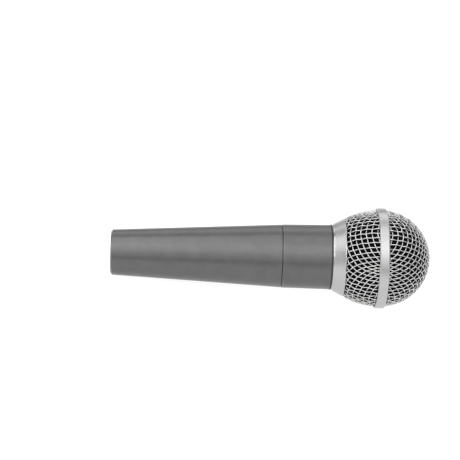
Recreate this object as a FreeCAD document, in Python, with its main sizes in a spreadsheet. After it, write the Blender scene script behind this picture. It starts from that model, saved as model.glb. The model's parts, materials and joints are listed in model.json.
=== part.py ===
import FreeCAD, Part
import math
import os
import re
import Sketcher

# A vocal microphone with a ball grille. Every piece is modelled about the microphone's own
# axis, which is +X from the tail (0) to the crown of the grille. At the end each piece gets
# the same Placement, which lays the microphone down on the plane z = 0: the grille's band and
# the tail's rim rest on it, so the axis rises towards the grille.

Vector = FreeCAD.Vector
ALONG_Y = FreeCAD.Rotation(Vector(0, 0, 1), 90)
LEFT = 1
RIGHT = -1

SIZES = [
    # Handle, from the tail
    ("tail_radius", 11.5, "radius of the tail's rim"),
    ("tail_chamfer", 0.8, "chamfer on the tail's rim"),
    ("handle_end", 86.2, "front face of the handle shell"),
    ("handle_end_radius", 15.95, "radius of the shell at its front face"),
    ("edge_chamfer", 0.12, "small chamfer on turned edges"),
    ("socket_radius", 8.2, "bore of the connector socket"),
    ("socket_depth", 14.5, "depth of the socket to the insert's face"),
    ("socket_chamfer", 0.6, "chamfer at the socket's mouth"),
    ("insert_end", 24.5, "shoulder that stops the connector insert"),
    ("web_end", 27.0, "front face of the web behind the insert"),
    ("web_radius", 6.6, "opening in the web for the output leads"),
    ("cavity_rear_radius", 10.2, "handle cavity at the web"),
    ("cavity_front_radius", 12.8, "handle cavity at the head's sleeve"),
    ("cavity_end", 79.0, "where the cavity meets the head's threaded bore"),
    ("latch_length", 4.0, "latch recess in the socket, along the axis"),
    ("latch_width", 4.6, "latch recess, across"),
    ("latch_depth", 1.1, "latch recess, into the wall"),
    ("latch_start", 4.2, "latch recess, from the tail face"),
    ("key_width", 2.6, "key groove in the socket, across"),
    ("key_depth", 0.9, "key groove, into the wall"),
    ("cut_margin", 1.0, "how far a cutting box or cylinder runs past the material"),
    # Connector
    ("insert_gap", 0.05, "radial gap of the insert in its bore"),
    ("pin_radius", 1.2, "radius of a contact pin"),
    ("pin_root_radius", 0.95, "a pin where the insert holds it"),
    ("pin_offset", 4.75, "contact pins, from the axis"),
    ("pin_start", 1.9, "tip of a contact pin, from the tail face"),
    ("pin_end", 28.2, "soldered end of a contact pin"),
    ("pin_tip", 0.7, "bevel at a pin's tip"),
    ("lug_radius", 0.85, "soldered end of a pin"),
    ("screw_radius", 1.5, "set screw of the insert"),
    ("screw_place", 19.5, "set screw, from the tail face"),
    ("screw_length", 3.4, "length of the set screw"),
    ("screw_socket_radius", 0.7, "drive recess of the set screw"),
    ("screw_socket_depth", 1.4, "depth of the drive recess"),
    # Transformer
    ("potting_start", 34.0, "rear face of the potting"),
    ("potting_end", 62.0, "front face of the potting"),
    ("potting_gap", 0.1, "gap round the potting"),
    ("core_start", 38.0, "rear face of the transformer core"),
    ("core_length", 18.0, "core, along the axis"),
    ("core_width", 12.0, "core, across"),
    ("core_height", 14.0, "core, upright"),
    ("core_leg", 3.0, "outer leg of the core"),
    ("window_height", 2.0, "winding window of the core, upright"),
    ("winding_proud", 1.2, "winding, beyond the core's sides"),
    ("lead_radius", 0.5, "radius of an insulated lead"),
    ("lead_offset", 3.5, "cartridge leads, from the axis"),
    ("lead_rise", 2.0, "cartridge leads, above the axis where they leave the potting"),
    ("lead_spread", 2.5, "how far a cartridge lead bows out"),
    ("lead_joint", 0.3, "solder between a cartridge lead and its lug"),
    ("lead_stub", 1.6, "straight end of a lead"),
    ("lead_gather", 0.7, "share of the pin circle on which the output leads enter the potting"),
    # Seam between handle and head
    ("seam_gap", 0.3, "width of the dark seam, filled by a gasket"),
    ("gasket_inner", 13.1, "inner radius of the seam gasket"),
    ("gasket_outer", 15.45, "outer radius of the seam gasket"),
    ("thread_gap", 0.06, "radial gap between a thread's crest and its bore"),
    ("thread_pitch", 1.25, "pitch of both threads"),
    ("thread_depth", 0.5, "height of both threads"),
    ("thread_bite", 0.1, "how far a thread's section sinks into its core"),
    ("sleeve_turns", 3.6, "turns of thread on the sleeve"),
    ("neck_turns", 3.8, "turns of thread on the neck"),
    ("sleeve_start", 80.2, "rear end of the head's threaded sleeve"),
    ("sleeve_crest", 13.0, "crest radius of the sleeve's thread"),
    ("sleeve_bore", 11.3, "bore of the sleeve"),
    # Front housing
    ("housing_end", 111.0, "front shoulder of the housing"),
    ("housing_rear_radius", 16.05, "housing radius at the seam"),
    ("housing_front_radius", 16.4, "housing radius at the collar"),
    ("neck_end", 117.3, "front end of the threaded neck"),
    ("neck_crest", 14.5, "crest radius of the neck's thread"),
    ("neck_bore", 12.9, "bore of the neck"),
    ("neck_step", 100.0, "step in the bore that seats the shock mount"),
    ("mount_end", 113.0, "front face of the shock mount"),
    ("mount_bore", 10.9, "bore of the shock mount"),
    ("mount_waist", 11.8, "radius of the shock mount's thin waist"),
    ("mount_rim", 3.0, "length of the shock mount's thick rims"),
    ("retainer_end", 115.6, "front face of the retaining ring"),
    ("retainer_bore", 11.9, "bore of the retaining ring"),
    # Cartridge
    ("board_start", 82.6, "rear face of the terminal board"),
    ("chamber_start", 84.0, "rear face of the air chamber"),
    ("chamber_radius", 9.6, "radius of the air chamber"),
    ("chamber_wall", 1.0, "wall of the air chamber"),
    ("board_radius", 7.0, "radius of the terminal board"),
    ("solder_lug_length", 2.0, "solder lug, behind the board"),
    ("solder_lug_width", 2.4, "solder lug, across"),
    ("solder_lug_thickness", 0.5, "solder lug, upright"),
    ("yoke_start", 101.0, "rear face of the yoke cup"),
    ("yoke_end", 117.0, "front face of the yoke cup"),
    ("yoke_radius", 10.8, "radius of the yoke cup"),
    ("yoke_bore", 9.2, "bore of the yoke cup"),
    ("yoke_base", 2.4, "thickness of the cup's base"),
    ("vent_radius", 1.5, "vent through the cup and the magnet"),
    ("magnet_radius", 6.9, "radius of the magnet"),
    ("magnet_end", 113.4, "front face of the magnet, against the pole piece"),
    ("plate_start", 113.9, "rear face of the top plate"),
    ("plate_end", 116.4, "front face of the top plate and pole piece"),
    ("plate_bore", 8.15, "bore of the top plate"),
    ("pole_radius", 7.05, "radius of the pole piece"),
    ("frame_start", 116.6, "rear face of the capsule frame"),
    ("frame_hub", 12.3, "hub of the capsule frame, inside the neck"),
    ("frame_step", 118.3, "rear face of the frame's flange"),
    ("capsule_radius", 13.6, "radius of the flange and of the cap"),
    ("frame_end", 122.0, "front face of the capsule frame"),
    ("frame_seat", 119.0, "recess floor behind the diaphragm"),
    ("frame_bore", 8.6, "opening in the frame for the coil"),
    ("rim_wall", 1.0, "wall of the frame's rim and of the cap"),
    ("cap_end", 125.6, "front face of the resonator cap"),
    ("cap_hole", 1.5, "radius of a hole in the cap"),
    ("cap_hole_ring", 7.6, "radius of the ring of holes"),
    ("cap_hole_count", 8, "holes in the ring"),
    ("screen_radius", 11.6, "radius of the acoustic cloth"),
    ("screen_thickness", 0.4, "thickness of the acoustic cloth"),
    # Moving pieces of the cartridge
    ("film_place", 119.4, "rear face of the diaphragm's rim"),
    ("film", 0.2, "thickness of the diaphragm"),
    ("film_radius", 12.3, "radius of the diaphragm"),
    ("roll_outer", 11.5, "outer radius of the diaphragm's roll"),
    ("roll_curve", 2.0, "radius of the roll's curve"),
    ("dome_foot", 7.9, "radius of the diaphragm's dome at its foot"),
    ("cap_curve", 13.6, "radius of the dome's curve"),
    ("coil_inner", 7.35, "inner radius of the voice coil"),
    ("coil_outer", 7.85, "outer radius of the voice coil"),
    ("coil_start", 113.5, "rear end of the voice coil"),
    # Grille
    ("joint_gap", 0.5, "width of the dark line, filled by a gasket"),
    ("seal_inner", 14.65, "inner radius of the collar gasket"),
    ("seal_outer", 16.55, "outer radius of the collar gasket"),
    ("collar_radius", 16.95, "radius of the collar at its polished edge"),
    ("collar_round", 0.85, "polished rounding of that edge"),
    ("collar_end", 117.9, "front rim of the collar"),
    ("collar_end_radius", 19.5, "radius of the collar's front rim"),
    ("collar_rim", 0.45, "straight rim in front of the cone"),
    ("collar_recess", 17.9, "radius of the recess in the rim"),
    ("collar_recess_depth", 0.9, "depth of that recess"),
    ("band_centre", 136.5, "middle of the band"),
    ("band_width", 5.0, "width of the band"),
    ("band_radius", 25.5, "outer radius of the band, the widest place"),
    ("band_round", 0.7, "rounding of the band's edges"),
    ("band_wall", 0.75, "thickness of the band outside the mesh rims"),
    ("rib_width", 0.8, "rib between the two mesh rims"),
    ("rib_inner", 23.5, "inner radius of that rib"),
    ("dome_centre", 137.5, "centre of the front half ball"),
    ("dome_radius", 24.5, "radius of the front half ball"),
    ("bulge_radius", 24.7, "radius of the rear half at the band"),
    ("bulge_curve", 37.3, "radius of the rear half's curve"),
    ("mesh_wall", 1.0, "thickness of the woven sheet"),
    ("liner_gap", 0.3, "gap between woven sheet and foam"),
    ("liner_wall", 3.0, "thickness of the foam liner"),
    ("liner_start", 118.6, "rear edge of the foam liner"),
]

doc = FreeCAD.newDocument("vocal_microphone")
sheet = doc.addObject("Spreadsheet::Sheet", "Sizes")
for row, (alias, number, note) in enumerate(SIZES, start=1):
    sheet.set(f"A{row}", alias)
    sheet.set(f"B{row}", str(number))
    sheet.setAlias(f"B{row}", alias)
    sheet.set(f"C{row}", note)
doc.recompute()
ALIASES = {alias for alias, number, note in SIZES}


def value(text):
    """The number that an expression on the sheet's aliases gives."""
    return float(sheet.evalExpression(text))


def bound(text):
    """The same expression as another object of the document has to write it."""
    return re.sub(r"[a-z]\w*", lambda word: ("Sizes." if word[0] in ALIASES else "") + word[0], text)


# ---------------------------------------------------------------- sketches and features
def sketch_in(body, name, role, offset="0"):
    """A sketch on one of the body's own origin planes, offset along that plane's normal."""
    sketch = body.newObject("Sketcher::SketchObject", name)
    plane = [feature for feature in body.Origin.OriginFeatures if feature.Role == role][0]
    sketch.AttachmentSupport = (plane, [""])
    sketch.MapMode = "FlatFace"
    if offset != "0":
        sketch.setExpression("AttachmentOffset.Base.z", bound(offset))
    return sketch


def fix_point(sketch, geometry, end, x_text, y_text):
    """Hold one end (1 or 2) of a sketch edge at two expressions."""
    for kind, text, axis in (("DistanceX", x_text, -2), ("DistanceY", y_text, -1)):
        if text == "0":
            sketch.addConstraint(Sketcher.Constraint("PointOnObject", geometry, end, axis))
            continue
        datum = Sketcher.Constraint(kind, -1, 1, geometry, end, value(text))
        sketch.setExpression(f"Constraints[{sketch.addConstraint(datum)}]", bound(text))


def arc_between(start, end, radius):
    """The short arc between two points: a positive radius has its centre left of the way."""
    chord = end - start
    left = Vector(-chord.y, chord.x, 0).normalize()
    rise = math.sqrt(radius * radius - chord.Length**2 / 4)
    centre = start + chord * 0.5 + left * math.copysign(rise, radius)
    circle = Part.Circle(centre, Vector(0, 0, 1), abs(radius))
    first, last = (start, end) if radius > 0 else (end, start)
    turn_first = math.atan2(first.y - centre.y, first.x - centre.x)
    turn_last = math.atan2(last.y - centre.y, last.x - centre.x)
    if turn_last < turn_first:
        turn_last += 2 * math.pi
    return Part.ArcOfCircle(circle, turn_first, turn_last)


def outline(sketch, corners):
    """A closed outline. A corner is (x, y), or (x, y, radius, side) where an arc runs to the next.

    The side, LEFT or RIGHT, is where the arc's centre lies, looking along the way.
    """
    points = [Vector(value(corner[0]), value(corner[1]), 0) for corner in corners]
    ends = []
    for index, corner in enumerate(corners):
        start = points[index]
        end = points[(index + 1) % len(corners)]
        radius = value(corner[2]) * corner[3] if len(corner) == 4 else 0
        edge = arc_between(start, end, radius) if radius else Part.LineSegment(start, end)
        sketch.addGeometry(edge, False)
        ends.append((2, 1) if radius < 0 else (1, 2))
    for index, corner in enumerate(corners):
        after = (index + 1) % len(corners)
        joint = Sketcher.Constraint("Coincident", index, ends[index][1], after, ends[after][0])
        sketch.addConstraint(joint)
        fix_point(sketch, index, ends[index][0], corner[0], corner[1])
        if len(corner) == 4:
            datum = Sketcher.Constraint("Radius", index, value(corner[2]))
            sketch.setExpression(f"Constraints[{sketch.addConstraint(datum)}]", bound(corner[2]))


def circle_at(sketch, x_text, y_text, radius_text):
    """A circle held at two expressions, with its radius bound to a third."""
    centre = Vector(value(x_text), value(y_text), 0)
    index = sketch.addGeometry(Part.Circle(centre, Vector(0, 0, 1), value(radius_text)), False)
    datum = sketch.addConstraint(Sketcher.Constraint("Radius", index, value(radius_text)))
    sketch.setExpression(f"Constraints[{datum}]", bound(radius_text))
    fix_point(sketch, index, 3, x_text, y_text)


def turned(label, corners):
    """A piece turned about the microphone's axis from (place along it, radius) corners."""
    body = doc.addObject("PartDesign::Body", label)
    sketch = sketch_in(body, f"{label}_profile", "XZ_Plane")
    outline(sketch, corners)
    turn = body.newObject("PartDesign::Revolution", f"{label}_turn")
    turn.Profile = sketch
    turn.ReferenceAxis = (sketch, ["H_Axis"])
    turn.Angle = 360
    doc.recompute()
    return body


def tube(label, start, end, inner, outer):
    """A plain ring or sleeve: from start to end along the axis, between two radii."""
    return turned(label, [(start, inner), (end, inner), (end, outer), (start, outer)])


def disc(label, start, end, radius):
    """A plain disc on the axis."""
    return turned(label, [(start, "0"), (end, "0"), (end, radius), (start, radius)])


def thread(body, name, start, length, crest):
    """A right-hand helical ridge raised on a turned piece by PartDesign's helix feature."""
    sketch = sketch_in(body, f"{name}_section", "XZ_Plane")
    root = f"{crest} - thread_depth - thread_bite"
    outline(sketch, [
        (f"{start} + thread_pitch * 0.05", root),
        (f"{start} + thread_pitch * 0.35", crest),
        (f"{start} + thread_pitch * 0.6", crest),
        (f"{start} + thread_pitch * 0.9", root),
    ])
    helix = body.newObject("PartDesign::AdditiveHelix", name)
    helix.Profile = sketch
    helix.ReferenceAxis = (sketch, ["H_Axis"])
    helix.Mode = "pitch-height-angle"
    helix.setExpression("Pitch", bound("thread_pitch"))
    helix.setExpression("Height", bound(length))
    doc.recompute()


def cut_box(body, name, spot, lengths):
    """Cut a box from a body: its corner nearest the origin, and its three side lengths."""
    box = body.newObject("PartDesign::SubtractiveBox", name)
    for side, text in zip(("Length", "Width", "Height"), lengths):
        box.setExpression(side, bound(text))
    for letter, text in zip("xyz", spot):
        box.setExpression(f"Placement.Base.{letter}", bound(text))
    doc.recompute()


def block(name, spot, lengths):
    """A Part box: its corner nearest the origin, and its three side lengths."""
    box = doc.addObject("Part::Box", name)
    for side, text in zip(("Length", "Width", "Height"), lengths):
        box.setExpression(side, bound(text))
    for letter, text in zip("xyz", spot):
        box.setExpression(f"Placement.Base.{letter}", bound(text))
    return box


def combined(kind, label, base, tool):
    """A Part boolean of two objects: kind is Cut, Fuse or Common."""
    result = doc.addObject(f"Part::{kind}", label)
    result.Base = base
    result.Tool = tool
    doc.recompute()
    return result


def lead(label, route, radius):
    """An insulated lead swept along straight runs that tangent arcs join."""
    edges = []
    last = route[0]
    for before, corner, after in zip(route, route[1:], route[2:]):
        run_in = (before - corner).normalize()
        run_out = (after - corner).normalize()
        shorter = min((before - corner).Length, (after - corner).Length)
        trim = 0.45 * shorter
        entry = corner + run_in * trim
        leave = corner + run_out * trim
        half = run_in.getAngle(run_out) / 2
        bisector = (run_in + run_out).normalize()
        centre = corner + bisector * (trim / math.cos(half))
        middle = centre - bisector * (trim * math.tan(half))
        edges.append(Part.LineSegment(last, entry).toShape())
        edges.append(Part.Arc(entry, middle, leave).toShape())
        last = leave
    edges.append(Part.LineSegment(last, route[-1]).toShape())
    path = Part.Wire(edges)
    section = Part.Wire(Part.Circle(route[0], route[1] - route[0], radius).toShape())
    piece = doc.addObject("Part::Feature", label)
    piece.Shape = path.makePipeShell([section], True, False)
    return piece


# ---------------------------------------------------------------- handle
def make_handle_shell():
    """The tapered handle, hollow from the connector socket to the head's thread."""
    body = turned("handle_shell", [
        ("0", "socket_radius + socket_chamfer"),
        ("0", "tail_radius - tail_chamfer"),
        ("tail_chamfer", "tail_radius"),
        ("handle_end - edge_chamfer", "handle_end_radius"),
        ("handle_end", "handle_end_radius - edge_chamfer"),
        ("handle_end", "sleeve_crest + thread_gap"),
        ("cavity_end", "sleeve_crest + thread_gap"),
        ("cavity_end", "cavity_front_radius"),
        ("web_end", "cavity_rear_radius"),
        ("web_end", "web_radius"),
        ("insert_end", "web_radius"),
        ("insert_end", "socket_radius"),
        ("socket_chamfer", "socket_radius"),
    ])
    cut_box(
        body,
        "latch_recess",
        ("latch_start", "0 - latch_width / 2", "socket_radius - cut_margin"),
        ("latch_length", "latch_width", "latch_depth + cut_margin"),
    )
    cut_box(
        body,
        "key_groove",
        ("0 - cut_margin", "0 - key_width / 2", "0 - socket_radius - key_depth"),
        ("socket_depth + cut_margin", "key_width", "key_depth + cut_margin"),
    )
    hole = body.newObject("PartDesign::SubtractiveCylinder", "set_screw_hole")
    hole.setExpression("Radius", bound("screw_radius + thread_gap"))
    hole.setExpression("Height", bound("handle_end_radius + cut_margin"))
    hole.setExpression("Placement.Base.x", bound("screw_place"))
    hole.Placement.Rotation = FreeCAD.Rotation(Vector(1, 0, 0), -90)
    doc.recompute()
    return [body]


def make_connector():
    """The socket's insulating insert, its three pins and the screw that holds it."""
    body = doc.addObject("PartDesign::Body", "connector_insert")
    sketch = sketch_in(body, "connector_insert_face", "YZ_Plane", "socket_depth")
    circle_at(sketch, "0", "0", "socket_radius - insert_gap")
    pin_spots = [("pin_offset", "0"), ("0 - pin_offset", "0"), ("0", "0 - pin_offset")]
    for y_text, z_text in pin_spots:
        circle_at(sketch, y_text, z_text, "pin_root_radius")
    pad = body.newObject("PartDesign::Pad", "connector_insert_pad")
    pad.Profile = sketch
    pad.setExpression("Length", bound("insert_end - socket_depth"))
    doc.recompute()
    pieces = [body]
    for number, (y_text, z_text) in enumerate(pin_spots, start=1):
        pin = turned(f"contact_pin_{number}", [
            ("pin_start", "0"),
            ("pin_start", "pin_radius - pin_tip"),
            ("pin_start + pin_tip", "pin_radius"),
            ("socket_depth", "pin_radius"),
            ("socket_depth", "pin_root_radius"),
            ("insert_end", "pin_root_radius"),
            ("insert_end", "lug_radius"),
            ("pin_end", "lug_radius"),
            ("pin_end", "0"),
        ])
        pin.Placement.Base = Vector(0, value(y_text), value(z_text))
        pieces.append(pin)
    screw = turned("insert_set_screw", [
        ("0", "0"),
        ("0", "screw_radius - edge_chamfer"),
        ("edge_chamfer", "screw_radius"),
        ("screw_length - edge_chamfer", "screw_radius"),
        ("screw_length", "screw_radius - edge_chamfer"),
        ("screw_length", "screw_socket_radius"),
        ("screw_length - screw_socket_depth", "screw_socket_radius"),
        ("screw_length - screw_socket_depth", "0"),
    ])
    screw_foot = Vector(value("screw_place"), value("socket_radius"), 0)
    screw.Placement = FreeCAD.Placement(screw_foot, ALONG_Y)
    pieces.append(screw)
    return pieces


def make_transformer():
    """The output transformer's core and winding, and the potting round them."""
    core_spot = ("core_start", "0 - core_width / 2", "0 - core_height / 2")
    core_box = block("core_outer", core_spot, ("core_length", "core_width", "core_height"))
    window_length = "core_length - 2 * core_leg"
    leg_half = "core_height / 2 - core_leg - window_height"
    windows = []
    for name, bottom in (("window_top", leg_half), ("window_bottom", f"0 - ({leg_half}) - window_height")):
        spot = ("core_start + core_leg", "0 - core_width", bottom)
        windows.append(block(name, spot, (window_length, "2 * core_width", "window_height")))
    windows_pair = combined("Fuse", "core_windows", windows[0], windows[1])
    core = combined("Cut", "transformer_core", core_box, windows_pair)
    around = block(
        "winding_outer",
        ("core_start + core_leg", "0 - core_width / 2 - winding_proud", f"0 - ({leg_half}) - window_height"),
        (window_length, "core_width + 2 * winding_proud", f"2 * ({leg_half} + window_height)"),
    )
    leg = block(
        "winding_hole",
        ("core_start", "0 - core_width / 2", f"0 - ({leg_half})"),
        ("core_length", "core_width", f"2 * ({leg_half})"),
    )
    winding = combined("Cut", "transformer_winding", around, leg)
    span = "(cavity_front_radius - cavity_rear_radius) / (cavity_end - web_end)"
    mass = turned("potting_mass", [
        ("potting_start", "0"),
        ("potting_end", "0"),
        ("potting_end", f"cavity_rear_radius + (potting_end - web_end) * {span} - potting_gap"),
        ("potting_start", f"cavity_rear_radius + (potting_start - web_end) * {span} - potting_gap"),
    ])
    hollow = block("potting_core_room", core_spot, ("core_length", "core_width", "core_height"))
    winding_room = block(
        "potting_winding_room",
        ("core_start + core_leg", "0 - core_width / 2 - winding_proud", f"0 - ({leg_half}) - window_height"),
        (window_length, "core_width + 2 * winding_proud", f"2 * ({leg_half} + window_height)"),
    )
    rooms = combined("Fuse", "potting_rooms", hollow, winding_room)
    potting = combined("Cut", "transformer_potting", mass, rooms)
    return [core, winding, potting]


def make_leads():
    """The two leads from the potting to the cartridge's lugs, and the three from the pins."""
    radius = value("lead_radius")
    front = value("potting_end")
    lug_end = value("board_start - solder_lug_length - lead_joint")
    run = lug_end - front
    rise = value("lead_rise")
    spread = value("lead_spread")
    stub = value("lead_stub")
    pieces = []
    for number, side in enumerate((1, -1), start=1):
        offset = side * value("lead_offset")
        route = [
            Vector(front, offset, rise),
            Vector(front + 0.22 * run, offset, rise),
            Vector(front + 0.46 * run, offset + side * spread, 0 - 0.75 * rise),
            Vector(front + 0.74 * run, offset + side * 0.6 * spread, 0.9 * rise),
            Vector(lug_end - stub, offset, 0),
            Vector(lug_end, offset, 0),
        ]
        pieces.append(lead(f"cartridge_lead_{number}", route, radius))
    rear = value("potting_start")
    soldered = value("pin_end")
    away = value("pin_offset")
    gathered = value("pin_offset * lead_gather")
    for number, (across, up) in enumerate(((1, 0), (-1, 0), (0, -1)), start=1):
        route = [
            Vector(soldered, across * away, up * away),
            Vector(soldered + stub, across * away, up * away),
            Vector(rear - stub, across * gathered, up * gathered),
            Vector(rear, across * gathered, up * gathered),
        ]
        pieces.append(lead(f"output_lead_{number}", route, radius))
    return pieces


# ---------------------------------------------------------------- head
def make_head():
    """The gasket in the seam, the front housing with its two threads, and the shock mount."""
    gasket = tube("head_seal_ring", "handle_end", "handle_end + seam_gap", "gasket_inner", "gasket_outer")
    rear = "handle_end + seam_gap"
    housing = turned("front_housing", [
        ("sleeve_start", "sleeve_bore"),
        ("sleeve_start", "sleeve_crest - thread_depth"),
        (rear, "sleeve_crest - thread_depth"),
        (rear, "housing_rear_radius - edge_chamfer"),
        (f"{rear} + edge_chamfer", "housing_rear_radius"),
        ("housing_end - edge_chamfer", "housing_front_radius"),
        ("housing_end", "housing_front_radius - edge_chamfer"),
        ("housing_end", "neck_crest - thread_depth"),
        ("neck_end", "neck_crest - thread_depth"),
        ("neck_end", "neck_bore"),
        ("neck_step", "neck_bore"),
        ("neck_step", "sleeve_bore"),
    ])
    thread(housing, "sleeve_thread", "sleeve_start", "thread_pitch * sleeve_turns", "sleeve_crest")
    thread(housing, "neck_thread", "housing_end", "thread_pitch * neck_turns", "neck_crest")
    mount = turned("shock_mount", [
        ("neck_step", "mount_bore"),
        ("neck_step", "neck_bore"),
        ("neck_step + mount_rim", "neck_bore"),
        ("neck_step + mount_rim", "mount_waist"),
        ("mount_end - mount_rim", "mount_waist"),
        ("mount_end - mount_rim", "neck_bore"),
        ("mount_end", "neck_bore"),
        ("mount_end", "mount_bore"),
    ])
    retainer = tube("mount_retainer", "mount_end", "retainer_end", "retainer_bore", "neck_bore")
    return [gasket, housing, mount, retainer]


# ---------------------------------------------------------------- cartridge
def make_magnet_system():
    """The yoke cup with the magnet, pole piece and top plate inside."""
    base_end = "yoke_start + yoke_base"
    yoke = turned("yoke_cup", [
        ("yoke_start", "vent_radius"),
        (base_end, "vent_radius"),
        (base_end, "yoke_bore"),
        ("yoke_end", "yoke_bore"),
        ("yoke_end", "yoke_radius"),
        ("yoke_start", "yoke_radius"),
    ])
    magnet = tube("magnet", base_end, "magnet_end", "vent_radius", "magnet_radius")
    pole = tube("pole_piece", "magnet_end", "plate_end", "vent_radius", "pole_radius")
    plate = tube("top_plate", "plate_start", "plate_end", "plate_bore", "yoke_bore")
    return [yoke, magnet, pole, plate]


def make_capsule():
    """The capsule's frame, cap, cloth, air chamber and terminal board."""
    frame = turned("capsule_frame", [
        ("frame_start", "yoke_radius"),
        ("frame_start", "frame_hub"),
        ("frame_step", "frame_hub"),
        ("frame_step", "capsule_radius"),
        ("frame_end", "capsule_radius"),
        ("frame_end", "capsule_radius - rim_wall"),
        ("frame_seat", "capsule_radius - rim_wall"),
        ("frame_seat", "frame_bore"),
        ("yoke_end", "frame_bore"),
        ("yoke_end", "yoke_radius"),
    ])
    cap = turned("resonator_cap", [
        ("frame_end", "capsule_radius - rim_wall"),
        ("frame_end", "capsule_radius"),
        ("cap_end - rim_wall", "capsule_radius"),
        ("cap_end", "capsule_radius - rim_wall"),
        ("cap_end", "0"),
        ("cap_end - rim_wall", "0"),
        ("cap_end - rim_wall", "capsule_radius - rim_wall"),
    ])
    sketch = sketch_in(cap, "cap_hole_centre", "YZ_Plane", "cap_end")
    circle_at(sketch, "0", "cap_hole_ring", "cap_hole")
    hole = cap.newObject("PartDesign::Pocket", "cap_hole")
    hole.Profile = sketch
    hole.setExpression("Length", bound("rim_wall * 1.5"))
    doc.recompute()
    ring = cap.newObject("PartDesign::PolarPattern", "cap_holes")
    ring.Originals = [hole]
    ring.Axis = (sketch, ["N_Axis"])
    ring.Angle = 360
    ring.setExpression("Occurrences", bound("cap_hole_count"))
    cap.Tip = ring
    doc.recompute()
    screen = disc("front_screen", "cap_end", "cap_end + screen_thickness", "screen_radius")
    chamber = turned("rear_chamber", [
        ("chamber_start", "0"),
        ("chamber_start + chamber_wall", "0"),
        ("chamber_start + chamber_wall", "chamber_radius - chamber_wall"),
        ("yoke_start", "chamber_radius - chamber_wall"),
        ("yoke_start", "chamber_radius"),
        ("chamber_start", "chamber_radius"),
    ])
    board = disc("terminal_board", "board_start", "chamber_start", "board_radius")
    lug_spots = [
        ("lug_left", "lead_offset - solder_lug_width / 2"),
        ("lug_right", "0 - lead_offset - solder_lug_width / 2"),
    ]
    lugs = []
    for name, side in lug_spots:
        spot = ("board_start - solder_lug_length", side, "0 - solder_lug_thickness / 2")
        lugs.append(block(name, spot, ("solder_lug_length", "solder_lug_width", "solder_lug_thickness")))
    pair = combined("Fuse", "solder_lugs", lugs[0], lugs[1])
    return [frame, cap, screen, chamber, board, pair]


def make_diaphragm():
    """The diaphragm, with a dome and a half-roll rim, and the coil it carries."""
    back = "film_place"
    front = "film_place + film"
    outside = "(cap_curve + film)"
    inside_foot = "(dome_foot - film / 2)"
    crown = f"{front} + {outside} - sqrt({outside} * {outside} - dome_foot * dome_foot)"
    crown_inside = f"{back} + cap_curve - sqrt(cap_curve * cap_curve - {inside_foot} * {inside_foot})"
    film = turned("diaphragm", [
        (back, "film_radius"),
        (front, "film_radius"),
        (front, "roll_outer", "roll_curve + film", RIGHT),
        (front, "dome_foot", outside, RIGHT),
        (crown, "0"),
        (crown_inside, "0", "cap_curve", LEFT),
        (back, inside_foot),
        (back, "dome_foot + film * 0.75", "roll_curve", LEFT),
        (back, "roll_outer - film / 2"),
    ])
    coil = tube("voice_coil", "coil_start", "film_place", "coil_inner", "coil_outer")
    return [film, coil]


# ---------------------------------------------------------------- grille
def curve_radius(place, curve, top):
    """Radius at a place on the rear half, whose curve is level at the band's centre."""
    return f"{top} - {curve} + sqrt({curve} * {curve} - (band_centre - {place}) * (band_centre - {place}))"


def make_grille():
    """The collar, the band and the two pressed halves of woven sheet."""
    collar = turned("grille_collar", [
        ("housing_end + joint_gap", "neck_crest + thread_gap"),
        ("housing_end + joint_gap", "collar_radius - collar_round", "collar_round", RIGHT),
        ("housing_end + joint_gap + collar_round", "collar_radius"),
        ("collar_end - collar_rim", "collar_end_radius"),
        ("collar_end", "collar_end_radius"),
        ("collar_end", "collar_recess"),
        ("collar_end - collar_recess_depth", "collar_recess"),
        ("collar_end - collar_recess_depth", "neck_crest + thread_gap"),
    ])
    band_start = "band_centre - band_width / 2"
    band_end = "band_centre + band_width / 2"
    band = turned("grille_band", [
        (band_start, "band_radius - band_wall"),
        (band_start, "band_radius - band_round", "band_round", RIGHT),
        (f"{band_start} + band_round", "band_radius"),
        (f"{band_end} - band_round", "band_radius", "band_round", RIGHT),
        (band_end, "band_radius - band_round"),
        (band_end, "band_radius - band_wall"),
        ("band_centre + rib_width / 2", "band_radius - band_wall"),
        ("band_centre + rib_width / 2", "rib_inner"),
        ("band_centre - rib_width / 2", "rib_inner"),
        ("band_centre - rib_width / 2", "band_radius - band_wall"),
    ])
    rim = "band_centre + rib_width / 2"
    inner = "(dome_radius - mesh_wall)"
    ahead = f"({rim} - dome_centre)"
    front = turned("grille_mesh_front", [
        (rim, f"sqrt({inner} * {inner} - {ahead} * {ahead})", inner, RIGHT),
        (f"dome_centre + {inner}", "0"),
        ("dome_centre + dome_radius", "0", "dome_radius", LEFT),
        (rim, f"sqrt(dome_radius * dome_radius - {ahead} * {ahead})"),
    ])
    edge = "band_centre - rib_width / 2"
    outer_curve = "bulge_curve"
    inner_curve = "(bulge_curve - mesh_wall)"
    inner_top = "(bulge_radius - mesh_wall)"
    rear = turned("grille_mesh_rear", [
        ("collar_end", curve_radius("collar_end", outer_curve, "bulge_radius")),
        ("collar_end", curve_radius("collar_end", inner_curve, inner_top), inner_curve, RIGHT),
        (edge, curve_radius(edge, inner_curve, inner_top)),
        (edge, curve_radius(edge, outer_curve, "bulge_radius"), outer_curve, LEFT),
    ])
    return [collar, band, front, rear]


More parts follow.
